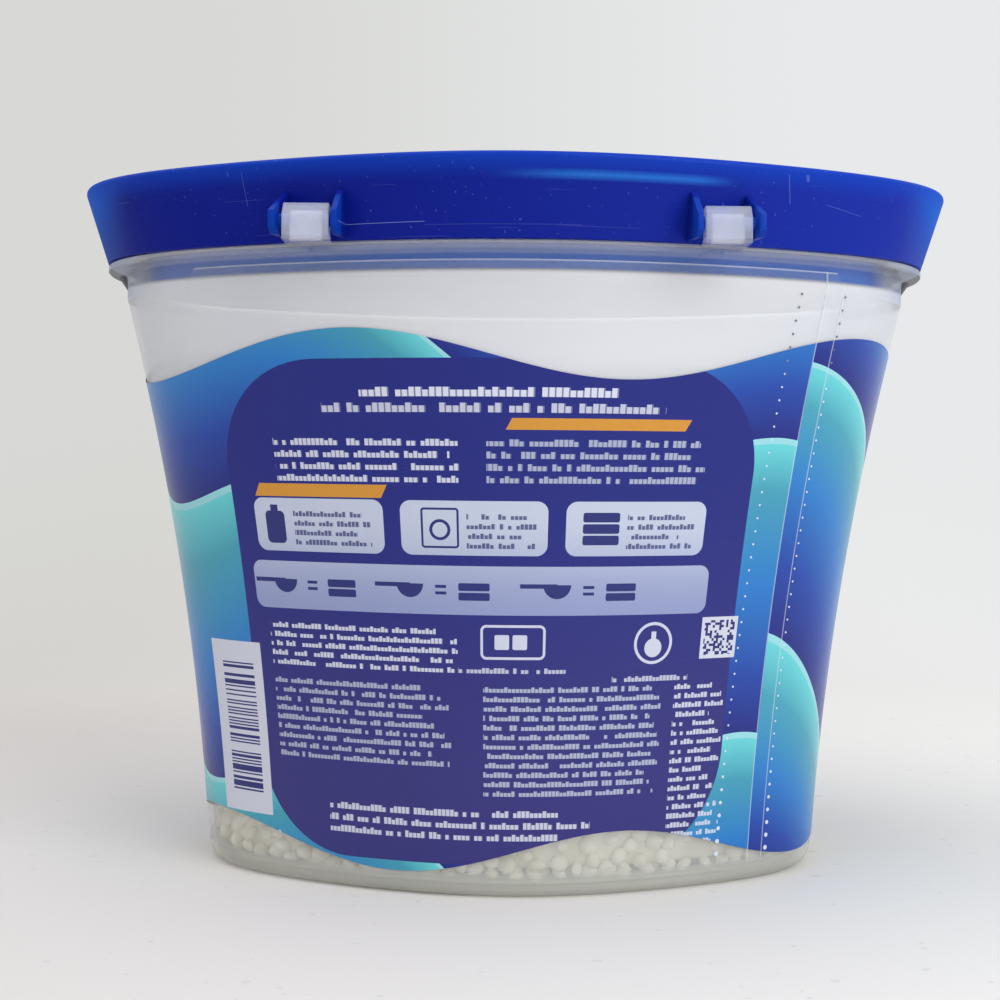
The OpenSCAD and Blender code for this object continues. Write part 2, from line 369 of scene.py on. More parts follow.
class Paint:
    # one material and the making of its nodes
    def __init__(self, name):
        self.material = bpy.data.materials.new(name)
        self.material.use_nodes = True
        self.tree = self.material.node_tree
        self.tree.nodes.clear()

    def node(self, kind, settings=None, inputs=None):
        made = self.tree.nodes.new(kind)
        for name, value in (settings or {}).items():
            if name == "stops":
                ramp = made.color_ramp
                while len(ramp.elements) < len(value):
                    ramp.elements.new(0.5)
                for element, (place, colour) in zip(ramp.elements, value):
                    element.position = place
                    element.color = colour
            else:
                setattr(made, name, value)
        for key, value in (inputs or {}).items():
            socket = made.inputs[key]
            if isinstance(value, Value):
                value = value.socket
            if isinstance(value, bpy.types.Node):
                value = value.outputs[0]
            if isinstance(value, bpy.types.NodeSocket):
                self.tree.links.new(value, socket)
            else:
                socket.default_value = value
        return made

    def value(self, socket):
        return Value(self, socket)

    def place(self):
        # position on the object in millimetres, as three values
        source = self.node("ShaderNodeTexCoord").outputs["Object"]
        parts = self.node("ShaderNodeSeparateXYZ", {}, {0: source})
        return [self.value(parts.outputs[i]) * 1000 for i in range(3)]

    def speckle(self, scale, detail=2.0, stretch=(1, 1, 1), turn=(0, 0, 0)):
        source = self.node("ShaderNodeTexCoord").outputs["Object"]
        moved = self.node("ShaderNodeMapping", {}, {"Vector": source, "Scale": stretch, "Rotation": turn})
        inputs = {"Vector": moved, "Scale": scale, "Detail": detail}
        return self.value(self.node("ShaderNodeTexNoise", {}, inputs).outputs[0])

    def mix(self, share, low, high):
        # colour low where share is 0 and high where it is 1
        made = self.node("ShaderNodeMix", {"data_type": "RGBA"}, {0: share, 6: low, 7: high})
        return made.outputs[2]

    def surface(self, **inputs):
        bumps = inputs.pop("bumps", None)
        names = {name.replace("_", " "): value for name, value in inputs.items()}
        if bumps:
            strength, distance, height = bumps
            inputs = {"Strength": strength, "Distance": distance, "Height": height}
            names["Normal"] = self.node("ShaderNodeBump", {}, inputs)
        shader = self.node("ShaderNodeBsdfPrincipled", {}, names)
        self.node("ShaderNodeOutputMaterial", {}, {"Surface": shader})
        return self.material


# Camera: the photograph looks at the hinge side, almost level and very slightly tilted
view = {"place": (-3.2, -450.0, 102.14), "down": 0.025, "roll": 0.008, "lens": 62.17}
cameraData = bpy.data.cameras.new("photoCamera")
cameraData.sensor_width = 36.0
cameraData.lens = view["lens"]
cameraData.clip_start = 0.01
camera = linked("photoCamera", cameraData)
camera.matrix_world = (
    Matrix.Translation(Vector(view["place"]) * mm)
    @ Matrix.Rotation(math.pi / 2 - view["down"], 4, "X")
    @ Matrix.Rotation(view["roll"], 4, "Z")
)
bpy.context.scene.camera = camera

# Materials
milkyLook = {
    "clear": tone(246, 248, 253),
    "clouded": tone(214, 222, 236),
    # painted shade: the fluted end corbels under the flange are coloured dark grey, standing in for the
    # shade they lie in
    "flute": tone(52, 58, 70),
    "lugTint": tone(204, 214, 240),
    # painted shade and painted blue reflection of the lid: a darker bluish band at the ends just below the
    # plug
    "shadedBand": tone(126, 140, 176),
    "footTint": tone(222, 223, 210),
    "alpha": 0.56,
    "neckAlpha": 0.05,  # under the flange the lid's blue skirt stands close behind and shows through
    "rimAlpha": 0.17,
    "footAlpha": 0.24,  # at the foot the beads lie close behind
    "roughness": 0.28,
}


def milkyPlastic(name, look):
    paint = Paint(name)
    x, y, z = paint.place()
    cloud = paint.speckle(26, 0)
    flow = paint.speckle(9, 0, stretch=(1, 1, 6))
    neck = z.rise(plugLow - 1.2, plugLow + 0.2)
    rim = z.rise(flangeLow - 0.7, flangeLow + 0.1)
    foot = 1 - z.rise(9, 30)
    # painted shade: the fluted corbels at the ends are made dark and opaque
    shadedFlutes = x.size().rise(97.9, 98.9) * z.between(tubForm["shoulder"] - 0.2, flangeLow + 0.3)
    colour = paint.mix((cloud - 0.3) * 0.6, look["clear"], look["clouded"])
    ends = x.size().rise(84, 97)
    # painted shade with a painted blue reflection of the lid, in a band at the ends below the plug
    shadedBand = z.rise(plugLow - 3.4, plugLow - 2.8) * ends * (z < lidLow)
    colour = paint.mix(shadedBand * 0.75, colour, look["shadedBand"])
    colour = paint.mix(shadedFlutes, colour, look["flute"])
    colour = paint.mix(foot * 0.8, colour, look["footTint"])
    colour = paint.mix((z > lidLow) * 0.6, colour, look["lugTint"])
    alpha = look["alpha"] + (flow - 0.5) * 0.14 + shadedFlutes - neck * (look["alpha"] - look["neckAlpha"])
    alpha = alpha + rim * (look["rimAlpha"] - look["neckAlpha"])
    alpha = alpha - foot * (look["alpha"] - look["footAlpha"]) + (z > lidLow) * 0.14
    alpha = alpha + shadedBand * 0.55 + (1 - z.rise(3, 7)) * 0.2
    return paint.surface(
        Base_Color=colour,
        Roughness=look["roughness"] + cloud * 0.12,
        Alpha=alpha.atLeast(0.04).atMost(1),
        IOR=1.49,
        Specular_IOR_Level=0.3,
    )


lidLook = {
    "deep": tone(9, 24, 128),
    "royal": tone(30, 52, 168),
    # painted light: bright and crown are lighter blues for light that gets into the wall at its ends, beside
    # the ears and along its upper edge
    "bright": tone(0, 92, 204),
    "crown": tone(14, 66, 184),
    "sheen": tone(44, 128, 220),
    "skirt": tone(52, 112, 206),  # painted light: the plug is made lighter, for light that passes through its thin wall
    "worn": tone(160, 176, 220),
    "scratches": [
        # ends in length and height, width and strength
        ((-38.5, 152.6), (-20.0, 152.9), 0.10, 0.5),
        ((-60.0, 157.6), (-61.4, 165.0), 0.10, 0.2),
        ((60.5, 165.4), (61.0, 159.0), 0.30, 0.12),
        ((65.0, 165.6), (65.2, 164.2), 0.70, 0.16),
        ((70.0, 159.6), (79.0, 157.9), 0.10, 0.2),
        ((-20.0, 152.2), (14.0, 152.3), 0.10, 0.1),
    ],
}


def strokeMask(x, z, stroke):
    # how far a point is from a short line, turned into a mask
    (x0, z0), (x1, z1), width, _ = stroke
    length = math.hypot(x1 - x0, z1 - z0)
    ux, uz = (x1 - x0) / length, (z1 - z0) / length
    along = (x - x0) * ux + (z - z0) * uz
    off = ((z - z0) * ux - (x - x0) * uz).size()
    return (off < width / 2) * along.between(0, length)


def lidPlastic(name, look):
    paint = Paint(name)
    x, y, z = paint.place()
    cloud = paint.speckle(11, 1)
    # light that gets into the flared wall at its two ends and along its upper edge
    ends = x.size().rise(90, 104)
    crown = z.rise(161, 167.4)
    # painted light: the lid is lighter towards the right, where more light falls
    right = x.rise(-70, 110)
    body = paint.mix(right * 0.6 + (cloud - 0.4) * 0.35, look["deep"], look["royal"])
    body = paint.mix(ends * (0.4 + z.rise(150, 166) * 0.6), body, look["bright"])
    body = paint.mix(crown * 0.65, body, look["crown"])
    # painted light: lighter blue beside the hinge ears, for light that passes through the thin wall there
    thin = (y < axisY + 0.6) * x.size().between(37, 54)
    body = paint.mix(thin * 0.25, body, look["bright"])
    # painted light on the plug skirt, which is seen only through the tub's wall
    body = paint.mix((z < lidLow - 0.1) * 0.8, body, look["skirt"])
    # painted highlight: a light streak along the rear wall just below the crown
    sheenStreak = (1 - (z - 162.6).size() / 1.3).atLeast(0) * (y < -50)
    sheenStreak = sheenStreak * x.rise(-8, 16) * (1 - x.rise(38, 50))
    body = paint.mix(sheenStreak * 0.6, body, look["sheen"])
    worn = 0
    for stroke in look["scratches"]:
        worn = worn + strokeMask(x, z, stroke) * stroke[3]
    dust = paint.speckle(1400, 0) > 0.82
    hair = paint.speckle(60, 1, stretch=(0.6, 0.6, 26), turn=(0, 0.05, 0)) > 0.76
    hair = hair * (z < lidTop - 1.5) * 0.05
    worn = (worn * (y < -50) + dust * 0.12 + hair).atMost(0.8)
    colour = paint.mix(worn, body, look["worn"])
    return paint.surface(
        Base_Color=colour,
        Roughness=0.3 + worn * 0.4 + ends * 0.3,
        Specular_IOR_Level=0.06,
        bumps=(0.06, 0.0003, cloud * 6 + worn * 2),
    )


printLook = {
    "navy": tone(24, 33, 122),
    "violet": tone(48, 46, 118),
    "royal": tone(26, 66, 160),
    "azure": tone(34, 116, 192),
    "teal": tone(62, 150, 174),
    "aqua": tone(104, 208, 212),
    "pale": tone(188, 196, 216),
    "paleLow": tone(140, 150, 192),
    "white": tone(212, 216, 232),
    "paper": tone(200, 203, 218),
    "ink": tone(38, 44, 112),
    "amber": tone(204, 142, 52),
    "back": tone(150, 164, 198),
    "upperEdge": (125.2, 5.6, -35.0),  # middle height, swing, where a crest lies
    "lowerEdge": (10.6, 4.9, 28.0),
    "waves": 4,  # crests round the tub
    "plate": ((-6.5, 66), (62, 58), 26),  # middle, half size and corner radius
    "cards": (-46, 37, 3),  # middle of the first, pitch and count
    "bowls": (-56, -24, 10),
    "dotPitch": 5,
}


def edgeHeight(look, edge, length):
    middle, swing, crest = look[edge]
    return middle + swing * math.cos((length - crest) * 2 * math.pi * look["waves"] / filmRound)


def pastCore(x, v, middle, half, radius):
    # square of how far a point lies past the core of a box with round corners
    dx = ((x - middle[0]).size() - (half[0] - radius)).atLeast(0)
    dv = ((v - middle[1]).size() - (half[1] - radius)).atLeast(0)
    return dx * dx + dv * dv


def roundBox(x, v, middle, half, radius):
    return pastCore(x, v, middle, half, radius) < radius * radius


def roundFrame(x, v, middle, half, radius, line):
    return pastCore(x, v, middle, half, radius).between((radius - line) ** 2, radius ** 2)


def ring(x, v, middle, radius, line):
    # a disc where the line is as wide as the radius
    dx = x - middle[0]
    dv = v - middle[1]
    return (dx * dx + dv * dv).between((radius - line) ** 2, radius ** 2)


def repeated(x, first, pitch, count):
    # the place within the nearest of a row of like things, and a mask of the whole row
    start = first - pitch / 2
    return ((x - start) / pitch).part() * pitch - pitch / 2, x.between(start, start + count * pitch)


def boxMask(x, v, left, right, low, high):
    return x.between(left, right) * v.between(low, high)


def chance(paint, *coords):
    # a random number for each whole cell
    place = paint.node("ShaderNodeCombineXYZ", {}, dict(enumerate(coords)))
    made = paint.node("ShaderNodeTexWhiteNoise", {"noise_dimensions": "3D"}, {"Vector": place})
    return paint.value(made.outputs[0])


def rowTexture(paint, x, v, pitch, fill, letter, seed):
    # rows of short bars, like print seen from too far off to read, and how far each row runs
    place = v / pitch
    row = place.whole()
    along = x / letter + row * 0.37
    lot = chance(paint, along.whole(), row, seed)
    tall = ((lot > 0.6) * 0.3 + 0.7) * fill
    bars = (place.part() < tall) * (lot > 0.16) * ((along.part() < 0.76) * 0.7 + 0.3)
    return bars, chance(paint, row, seed + 0.5, 3.1)


printStyles = {
    # row pitch, share of it that a bar fills, width of a bar, seed
    "title": (3.5, 0.6, 1.45, 2.0),
    "text": (2.75, 0.56, 1.05, 5.0),
    "fine": (2.2, 0.56, 0.92, 9.0),
}
printBlocks = [
    # left, right, low, high, style, how ragged the right end is, tint and strength
    (-33, 24, 115.5, 119.0, "title", 3, "white", 0.95),
    (-42, 33, 112.0, 115.5, "title", 9, "white", 0.75),
    (-55, -10, 96.25, 107.25, "text", 9, "white", 0.85),
    (-6, 43, 96.25, 107.25, "text", 8, "pale", 0.7),
    (-52, -31, 81.4, 90.2, "fine", 6, "ink", 0.85),
    (-10.5, 6, 81.4, 90.2, "fine", 5, "ink", 0.85),
    (25.5, 43, 81.4, 90.2, "fine", 6, "ink", 0.85),
    (-62, -12, 52.8, 63.8, "fine", 8, "white", 0.85),
    (-62, -12, 30.8, 50.6, "fine", 12, "pale", 0.7),
    (-7, 38.5, 24.2, 50.6, "fine", 5, "pale", 0.75),
    (-48, 24, 13.7, 22.0, "text", 14, "white", 0.8),
    (-84, -62, 8.8, 13.2, "fine", 3, "white", 0.85),
    (-13, 13, 52.8, 55.0, "fine", 2, "white", 0.7),
    (24, 44, 50.6, 52.8, "fine", 2, "white", 0.7),
    (40.5, 56.6, 6.6, 50.6, "fine", 7, "white", 0.8),
]


def signMask(x, v, look):
    # plain pictures of dosing: a bottle, a drum, piles of cloths and bowls with handles
    signs = roundBox(x, v, (-57, 85.4), (2.6, 3.8), 1.2) + boxMask(x, v, -58, -56, 89, 90.6)
    signs = signs + ring(x, v, (-16.5, 85.6), 2.4, 0.7) + roundFrame(x, v, (-16.5, 86), (4.3, 4.6), 0.8, 0.5)
    fold, pile = repeated(v, 83.4, 2.6, 3)
    signs = signs + roundBox(x, fold, (19.5, 0), (4.2, 1.1), 0.5) * pile
    u = x - look["bowls"][0]
    for last, place in zip(look["bowls"], look["bowls"][1:]):
        u = u - (x > place - 11) * (place - last)
    signs = signs + ring(u, v, (0, 73.2), 3.2, 3.2) * (v < 73.2) + boxMask(u, v, -8.5, 0, 72.4, 73.4)
    signs = signs + boxMask(u, (v - 71.9).size(), 6, 8.6, 0.4, 1.1)
    signs = signs + roundBox(u, (v - 71.5).size() - 1.1, (15, 0), (3.6, 0.9), 0.4)
    return signs.atMost(1)


def badgeMask(x, v):
    # outline signs beside the text
    badge = ring(x, v, (34, 59.5), 4.9, 0.7) + ring(x, v, (34, 58.4), 2.2, 2.2)
    badge = badge + boxMask(x, v, 33.4, 34.6, 59, 62.2)
    squares = roundBox((x + 0.5).size(), v, (2.1, 60), (1.7, 1.7), 0.4)
    return (badge + squares + roundFrame(x, v, (0, 60), (7.6, 4), 1.4, 0.6)).atMost(1)


def filmPlace(paint):
    # length right of the rear middle and height, both in millimetres
    source = paint.node("ShaderNodeUVMap", {"uv_map": "wrap"}).outputs[0]
    parts = paint.node("ShaderNodeSeparateXYZ", {}, {0: source})
    x = paint.value(parts.outputs[0]) * filmRound - (filmRound - filmForm["seam"])
    return x, paint.value(parts.outputs[1]) * filmForm["tall"]


def seamCrease(x):
    # a fine bright crease at the joint of the film and the edge of the lap beyond it
    lap = filmForm["seam"] - filmRound
    return ((x > filmForm["seam"] - 0.3) + x.between(lap + 4.5, lap + 4.8)).atMost(1)


def printedFilm(name, look):
    paint = Paint(name)
    x, v = filmPlace(paint)
    turn = 2 * math.pi * look["waves"] / filmRound

    # ribbons that sweep up to the right, each fading from navy to aqua
    sweep = (v + x * 0.42 + (x * turn + 0.8).wave() * 13 + (v * 0.045).wave() * 6) / 58
    ribbon = sweep.part()
    tones = ("navy", "royal", "azure", "teal", "aqua")
    stops = [(place, look[name]) for place, name in zip((0.0, 0.22, 0.5, 0.8, 1.0), tones)]
    field = paint.node("ShaderNodeValToRGB", {"stops": stops}, {0: ribbon}).outputs[0]
    mesh = ((x * 6.4).wave() * (v * 6.4).wave()) > 0.1
    fade = ribbon.rise(0.2, 0.95) * (0.35 + (x * 0.06).wave() * 0.35)
    field = paint.mix((mesh * fade * 0.3).atMost(1), field, look["aqua"])
    field = paint.mix((ribbon > 0.975) * 0.3, field, look["white"])

    # the plate that carries the small print, and its pale cards
    plateTone = paint.mix(v.rise(15, 105), look["violet"], look["navy"])
    colour = paint.mix(roundBox(x, v, *look["plate"]), field, plateTone)
    fold, row = repeated(x, *look["cards"])
    cards = roundBox(fold, v, (0, 86), (16.5, 6.2), 2.5) * row + roundBox(x, v, (-9, 71.8), (56, 5.6), 2.5)
    colour = paint.mix(cards, colour, paint.mix(v.rise(66, 90), look["paleLow"], look["pale"]))
    colour = paint.mix(signMask(x, v, look), colour, look["ink"])

    # amber tags with slanted ends
    lean = x - (v - 100) * 0.5
    tags = boxMask(lean, v, -58, -26, 92.6, 95.6) + boxMask(lean, v, -6, 33, 108.2, 110.8)
    colour = paint.mix(tags, colour, look["amber"])

    # small print, all of it plain bars
    styles = {style: rowTexture(paint, x, v, *sizes) for style, sizes in printStyles.items()}
    groups = {}
    for left, right, low, high, style, ragged, tint, strength in printBlocks:
        block = (x > left) * (x + styles[style][1] * ragged < right) * v.between(low, high) * strength
        groups[style, tint] = block.atLeast(groups.get((style, tint), 0))
    for (style, tint), blocks in groups.items():
        colour = paint.mix(styles[style][0] * blocks, colour, look[tint])
    colour = paint.mix(badgeMask(x, v) * 0.85, colour, look["white"])

    # white box with random stripes, and a small square of random cells
    colour = paint.mix(boxMask(x, v, -83.6, -65.8, 15.6, 57.4), colour, look["paper"])
    stripes = (chance(paint, (v / 0.36).whole(), 0.5, 0.5) > 0.5) * boxMask(x, v, -79.6, -68.6, 20.8, 52.2)
    colour = paint.mix(stripes, colour, look["ink"])
    colour = paint.mix(boxMask(x, v, 46.6, 56.6, 55.4, 65.2), colour, look["paper"])
    cells = chance(paint, (x / 0.62).whole(), (v / 0.62).whole(), 4.0) > 0.5
    colour = paint.mix(cells * boxMask(x, v, 47.4, 55.8, 56.2, 64.4), colour, look["ink"])

    # the front: a plain banner, an amber tag and a scatter of dots
    across = x + filmRound / 2
    colour = paint.mix(roundBox(across, v, (0, 84), (54, 15), 15), colour, look["white"])
    colour = paint.mix(roundBox(across, v, (0, 84), (50, 11.4), 11.4), colour, look["navy"])
    colour = paint.mix(roundBox(across - (v - 60) * 0.4, v, (0, 60), (30, 3.6), 0.6), colour, look["amber"])
    pitch = look["dotPitch"]
    dx = (across / pitch).part() - 0.5
    dv = (v / pitch).part() - 0.5
    size = 0.12 - across.size() / (100 * pitch)
    dots = ((dx * dx + dv * dv) < size) * boxMask(across, v, -9 * pitch, 9 * pitch, 5 * pitch, 9 * pitch)
    colour = paint.mix(dots * 0.8, colour, look["pale"])

    colour = paint.mix(seamCrease(x) * 0.4, colour, look["white"])
    haze = paint.speckle(16, 0, stretch=(1, 1, 4))
    return paint.surface(
        Base_Color=colour,
        Roughness=0.2 + haze * 0.12,
        Specular_IOR_Level=0.35,
        bumps=(0.22, 0.0005, haze),
    )


def clearFilm(name):
    paint = Paint(name)
    x, v = filmPlace(paint)
    haze = paint.speckle(16, 0, stretch=(1, 1, 4))
    edge = v.rise(filmForm["top"] - 0.5, filmForm["top"])
    return paint.surface(
        Base_Color=tone(228, 232, 240),
        Roughness=0.2 + haze * 0.12,
        Alpha=(edge + seamCrease(x)) * 0.3 + haze * 0.07,
        Specular_IOR_Level=0.5,
    )


def printBack(name, look):
    paint = Paint(name)
    patch = paint.speckle(30, 0)
    colour = paint.mix(patch * 0.3, look["back"], look["paleLow"])
    return paint.surface(Base_Color=colour, Roughness=0.45 + patch * 0.1)


def beadWax(name):
    paint = Paint(name)
    patch = paint.speckle(160, 0)
    colour = paint.mix(patch.rise(0.35, 0.65), tone(240, 234, 211), tone(254, 250, 235))
    return paint.surface(Base_Color=colour, Roughness=0.45 + patch * 0.2, bumps=(0.2, 0.0002, patch))


def dotInk(name):
    paint = Paint(name)
    z = paint.place()[2]
    grain = paint.speckle(500, 2)
    colour = paint.mix(z.rise(119, 127), tone(206, 214, 236), tone(92, 98, 120))
    return paint.surface(Base_Color=colour, Roughness=0.5 + (grain - 0.5) * 0.2)


def scoopPlastic(name):
    paint = Paint(name)
    cloud = paint.speckle(50, 3)
    colour = paint.mix((cloud - 0.4) * 0.6, tone(228, 234, 240), tone(200, 210, 224))
    return paint.surface(
        Base_Color=colour,
        Roughness=0.22 + cloud * 0.12,
        Alpha=0.6 + (cloud - 0.5) * 0.1,
        bumps=(0.1, 0.0003, paint.speckle(500, 2)),
    )


# Lengths round the film, taken once for its pattern and its tear lines
def roundTable(columns=2880):
    ring = wallRing(filmForm["measuredAt"], -filmForm["gap"] - filmForm["thick"])
    lengths = [0.0]
    rear = 1.5 * math.pi
    last = ovalPoint(ring, rear)
    for i in range(1, columns + 1):
        here = ovalPoint(ring, rear + 2 * math.pi * i / columns)
        lengths.append(lengths[-1] + (here - last).length)
        last = here
    return lengths


roundLengths = roundTable()
filmRound = roundLengths[-1]


def turnAt(length):
    # the turn at which a length from the rear middle ends, going right
    length = length % filmRound
    low, high = 0, len(roundLengths) - 1
    while high - low > 1:
        middle = (low + high) // 2
        if roundLengths[middle] > length:
            high = middle
        else:
            low = middle
    share = (length - roundLengths[low]) / (roundLengths[high] - roundLengths[low])
    return 1.5 * math.pi + 2 * math.pi * (low + share) / (len(roundLengths) - 1)


print("materials")
milky = milkyPlastic("milkyPolypropylene", milkyLook)
royalBlue = lidPlastic("royalBluePolypropylene", lidLook)
filmClear = clearFilm("clearFilm")
filmPrinted = printedFilm("printedFilm", printLook)
filmBack = printBack("printBack", printLook)
wax = beadWax("creamWaxBeads")
tearInk = dotInk("tearDots")
scoopClear = scoopPlastic("scoopPolypropylene")


# The tub: one moulding of shell, end corbels and two hollow hinge lugs
def tubShell():
    f = tubForm
    edge = f["edge"]
    inner = f["footRadius"] - f["wall"]
    foot = f["footRadius"] + f["footRing"]
    rings = [wallRing(0, foot + 0.6, f["pushUp"]), wallRing(0, foot), wallRing(0, foot - 0.5)]
    for i in range(9):
        angle = math.pi / 2 * i / 8
        rise, run = 1 - math.cos(angle), 1 - math.sin(angle)
        rings.append(wallRing(f["footRadius"] * rise, f["footRadius"] * run))
    rings += [wallRing(blendOf(f["footRadius"], f["shoulder"], i / 30)) for i in range(1, 31)]
    out = -f["flangeOut"]
    top = f["flangeTop"]
    rings += [wallRing(flangeLow - 0.8), wallRing(flangeLow - 0.2, -0.2), wallRing(flangeLow, -0.8)]
    rings += [wallRing(flangeLow, out + edge), wallRing(flangeLow + edge, out), wallRing(top - edge, out)]
    rings += [wallRing(top, out + edge), wallRing(top, f["neckIn"]), wallRing(neckTop - edge, f["neckIn"])]
    rings += [wallRing(neckTop, f["neckIn"] + edge), wallRing(neckTop, f["neckIn"] + f["wall"] - edge)]
    rings += [wallRing(z, f["neckIn"] + f["wall"]) for z in (neckTop - edge, f["shoulder"])]
    heights = [blendOf(floorTop + inner, f["shoulder"], i / 30) for i in reversed(range(30))]
    rings += [wallRing(z, f["wall"]) for z in heights]
    for i in range(5, -1, -1):
        angle = math.pi / 2 * i / 6
        rise, run = 1 - math.cos(angle), 1 - math.sin(angle)
        rings.append(wallRing(floorTop + inner * rise, f["wall"] + inner * run))
    return loft("tubMoulding", rings)


def corbel():
    f = tubForm
    teeth = 8 * f["flutes"]
    root = f["rimLength"] / 2 - f["wall"] / 2
    tip = Vector((root, 0, f["shoulder"]))
    levels = 7
    top = flangeLow + f["flangeThick"] / 2
    rows = []
    for level in range(levels):
        drop = level / levels
        row = []
        for i in range(teeth + 1):
            angle = blendOf(-math.pi / 2, math.pi / 2, i / teeth)
            flute = f["fluteDepth"] * (0.5 - 0.5 * math.cos(2 * math.pi * f["flutes"] * i / teeth))
            reach = f["rimLength"] / 2 + (f["corbelOut"] - flute) * math.cos(angle)
            row.append(Vector((reach, f["corbelWidth"] / 2 * math.sin(angle), top)).lerp(tip, drop))
        row += [Vector((root, side * f["corbelWidth"] / 2, top)).lerp(tip, drop) for side in (1, -1)]
        rows.append(row)
    points = [p for row in rows for p in row] + [tip]
    count = len(rows[0])
    faces = [tuple(range(count))]
    for level in range(levels - 1):
        for i in range(count):
            j = (i + 1) % count
            low, high = level * count, (level + 1) * count
            faces.append((low + i, high + i, high + j, low + j))
    last = (levels - 1) * count
    faces += [(last + i, len(points) - 1, last + (i + 1) % count) for i in range(count)]
    piece = objectFrom("corbel", points, faces)
    outward(piece)
    return piece


lugRoot = rearDepth((flangeHalf[0], flangeHalf[1], tubForm["rimTaut"], 0), hingeForm["x"])


def lug():
    h = hingeForm
    near = axisY - h["lugReach"]
    fore = axisY + lugFore
    crown = axisZ + h["lugReach"]
    top = tubForm["flangeTop"] - 0.02
    outline = [(near, lugLow), (near, crown - h["chamfer"]), (near + h["chamfer"], crown), (fore, crown)]
    outline += [(fore, tubForm["flangeTop"] + 1), (fore + 2, top), (lugRoot + 3, top), (lugRoot + 3, lugLow)]
    low = h["x"] - h["lugWidth"] / 2
    high = h["x"] + h["lugWidth"] / 2
    body = bevelled(prism("lugBody", outline, low, high, 0), 0.35, 3)
    wall = h["lugWall"]
    under = lugLow - 1
    hollow = [(near + wall, under), (near + wall, crown - h["chamfer"] - wall / 2)]
    hollow += [(near + h["chamfer"] + wall / 2, crown - wall)]
    hollow += [(fore - wall / 2, crown - wall), (fore - wall / 2, under)]
    cavity = prism("lugHollow", hollow, low + wall, high - wall, 0)
    bore = rod("lugBore", low - 1, high + 1, axisY, axisZ, boreRadius)
    return combine(body, [cavity, bore], "DIFFERENCE")


def lugNotch():
    h = hingeForm
    inner = h["x"] - h["lugWidth"] / 2
    outline = [(h["x"] + 0.3, lugLow), (h["x"] + 0.3, flangeLow - 1), (inner - 1.2, flangeLow - 1)]
    outline += [(inner, flangeLow), (inner + h["lugWall"], lugLow)]
    return prism("lugNotch", outline, lugRoot - 4, lugRoot + tubForm["flangeOut"] - 0.4, 1)


print("tub")
notch = lugNotch()
tub = combine(tubShell(), [notch, mirroredCopy(notch, "lugNotchLeft")], "DIFFERENCE")
oneLug = lug()
oneCorbel = corbel()
added = [oneLug, mirroredCopy(oneLug, "lugLeft"), oneCorbel, mirroredCopy(oneCorbel, "corbelLeft")]
tub = combine(tub, added, "UNION")
tub.name = "tubMoulding"
smoothed(tub, 34)
tub.data.materials.clear()
tub.data.materials.append(milky)


# The lid: flared wall, sunk panel, plug skirt, four ears with pins and a thumb tab
def lidShell():
    f = lidForm
    deep = f["panelIn"] + f["panelDeep"]
    rings = [lidRing(lidTop, deep + f["top"], lidTop - f["panelDeep"] - f["top"])]
    rings += [lidRing(lidTop, f["panelIn"] + f["top"], lidUnder)]
    plugInner = plugInset + f["plugThick"]
    base = tubForm["flangeTop"]
    rings += [wallRing(base, plugInner, lidUnder), wallRing(base, plugInner, plugLow + 0.3)]
    rings += [wallRing(base, plugInner - 0.3, plugLow), wallRing(base, plugInset + 0.3, plugLow)]
    rings += [wallRing(base, plugInset, plugLow + 0.3), wallRing(base, plugInset, lidUnder)]
    rings += [lidRing(lidUnder, f["wall"]), lidRing(lidLow + 0.2, f["wall"])]
    rings += [lidRing(lidLow, f["wall"] - 0.25)]
    rings += [lidRing(lidLow, 0.25), lidRing(lidLow + 0.2)]
    rings += [lidRing(blendOf(lidLow, lidTop - f["crownRadius"], i / 4)) for i in range(1, 4)]
    for i in range(7):
        angle = math.pi / 2 * i / 6
        fall, run = 1 - math.sin(angle), 1 - math.cos(angle)
        rings.append(lidRing(lidTop - f["crownRadius"] * fall, f["crownRadius"] * run))
    for i in range(7):
        share = i / 6
        ease = share * share * (3 - 2 * share)
        rings.append(lidRing(lidTop, f["panelIn"] + f["panelDeep"] * share, lidTop - f["panelDeep"] * ease))
    return loft("lidMoulding", rings)


def ear(turn):
    # turn is 1 on the ear nearer the end of the tub
    h = hingeForm
    lean = math.radians(h["earLean"])
    room = math.hypot(lugFore, h["lugReach"]) if turn > 0 else h["lugReach"]
    middle = h["lugWidth"] / 2 + h["earGap"] + room * math.tan(lean) + h["earThick"] / 2
    shift = (rearDepth(lidRing(axisZ), h["x"]) - axisY) * math.tan(lean)
    beside = h["x"] + turn * (h["lugWidth"] / 2 + h["earGap"] + h["earThick"]) - shift
    footY = rearDepth(lidRing(lidLow), beside) + lidForm["wall"] * 0.75
    headZ = axisZ + 7
    headY = rearDepth(lidRing(headZ), beside) + lidForm["wall"] * 0.75
    near = axisY - h["lugReach"] + 0.4
    outline = [(footY, lidLow + 0.4), (near + 1.6, axisZ - 3.2), (near, axisZ - 1.8)]
    outline += [(near, axisZ + 1.8), (headY - 1.8, headZ), (headY, headZ)]
    plate = bevelled(prism("ear", outline, -h["earThick"] / 2, h["earThick"] / 2, 0), 0.22, 2)
    place = Matrix.Translation(Vector((middle, axisY, 0)) * mm) @ Matrix.Rotation(turn * lean, 4, "Z")
    plate.data.transform(place @ Matrix.Translation(Vector((0, -axisY, 0)) * mm))
    pin = rod("pin", h["lugWidth"] / 2 - h["pinInside"], middle, axisY, axisZ, h["pinRadius"])
    piece = joined("earAndPin", [plate, bevelled(pin, 0.2, 2)])
    if turn < 0:
        piece.data.transform(Matrix.Scale(-1, 4, Vector((1, 0, 0))))
        piece.data.flip_normals()
    piece.data.transform(Matrix.Translation(Vector((h["x"], 0, 0)) * mm))
    return piece


